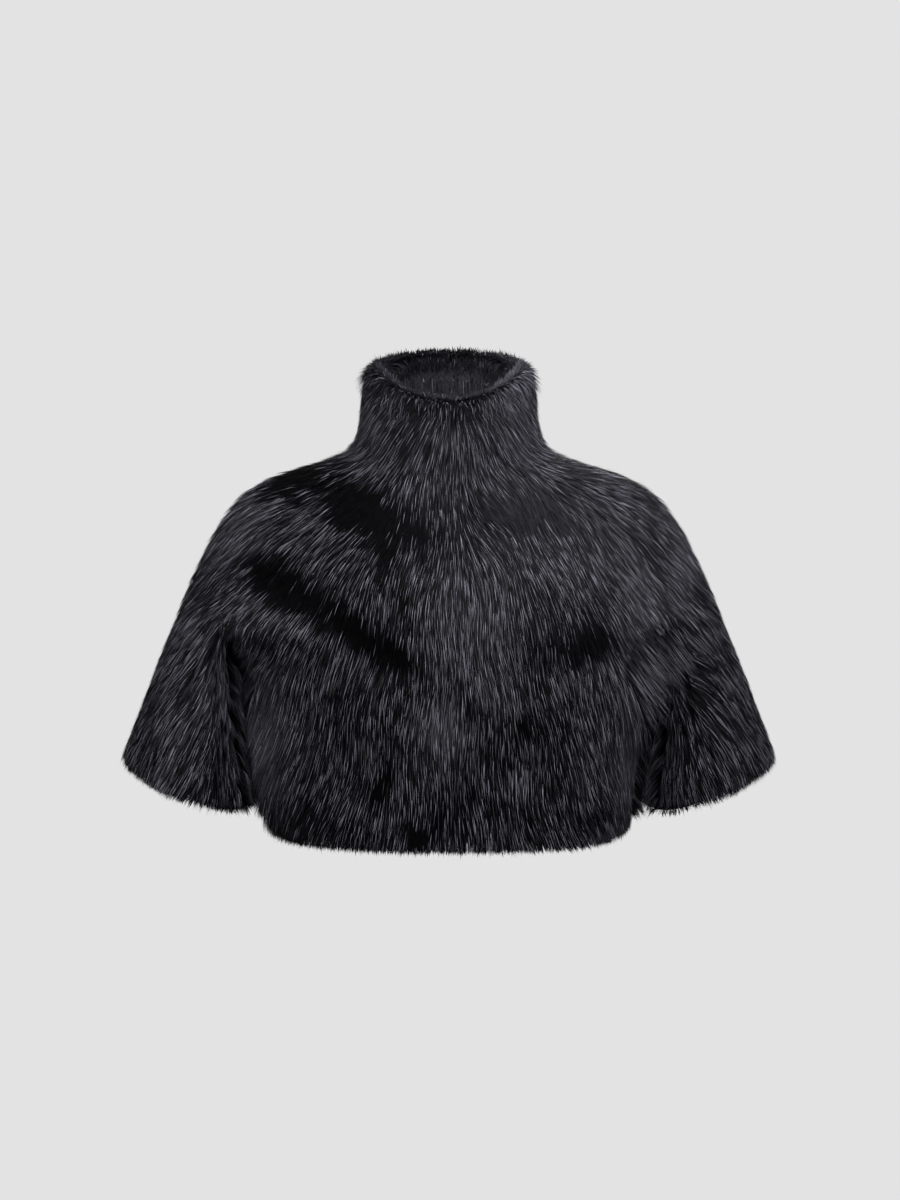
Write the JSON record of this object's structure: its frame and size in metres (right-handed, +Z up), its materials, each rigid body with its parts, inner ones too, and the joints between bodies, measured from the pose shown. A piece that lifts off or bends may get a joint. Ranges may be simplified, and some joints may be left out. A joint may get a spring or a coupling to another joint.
{
  "type": "fur bolero",
  "caption": "Cropped black fur bolero, hollow as worn, with a stand-up funnel collar, fronts closed edge to edge and wide elbow-length sleeves.",
  "frame": {"origin": "middle of the neck at the level of the collar's seam, where the wearer's neck and shoulders carry the garment", "axes": "+X to the wearer's left, -Y to the front, +Z up through the collar"},
  "size_m": [0.6562, 0.2591, 0.4891],
  "materials": {
    "body_fur": "sleek black fur, soft grey gloss along the lying hairs",
    "sleeve_fur": "sleek black fur, soft grey gloss along the lying hairs",
    "collar_fur": "sleek black fur, shorter pile",
    "facing_fur": "short black fur, matt in the shade of the collar"
  },
  "bodies": {
    "root": {"front_right": "body_fur", "front_left": "body_fur", "back": "body_fur", "sleeve_right": "sleeve_fur", "sleeve_left": "sleeve_fur", "collar": "collar_fur", "collar_facing": "facing_fur"}
  },
  "joints": []
}
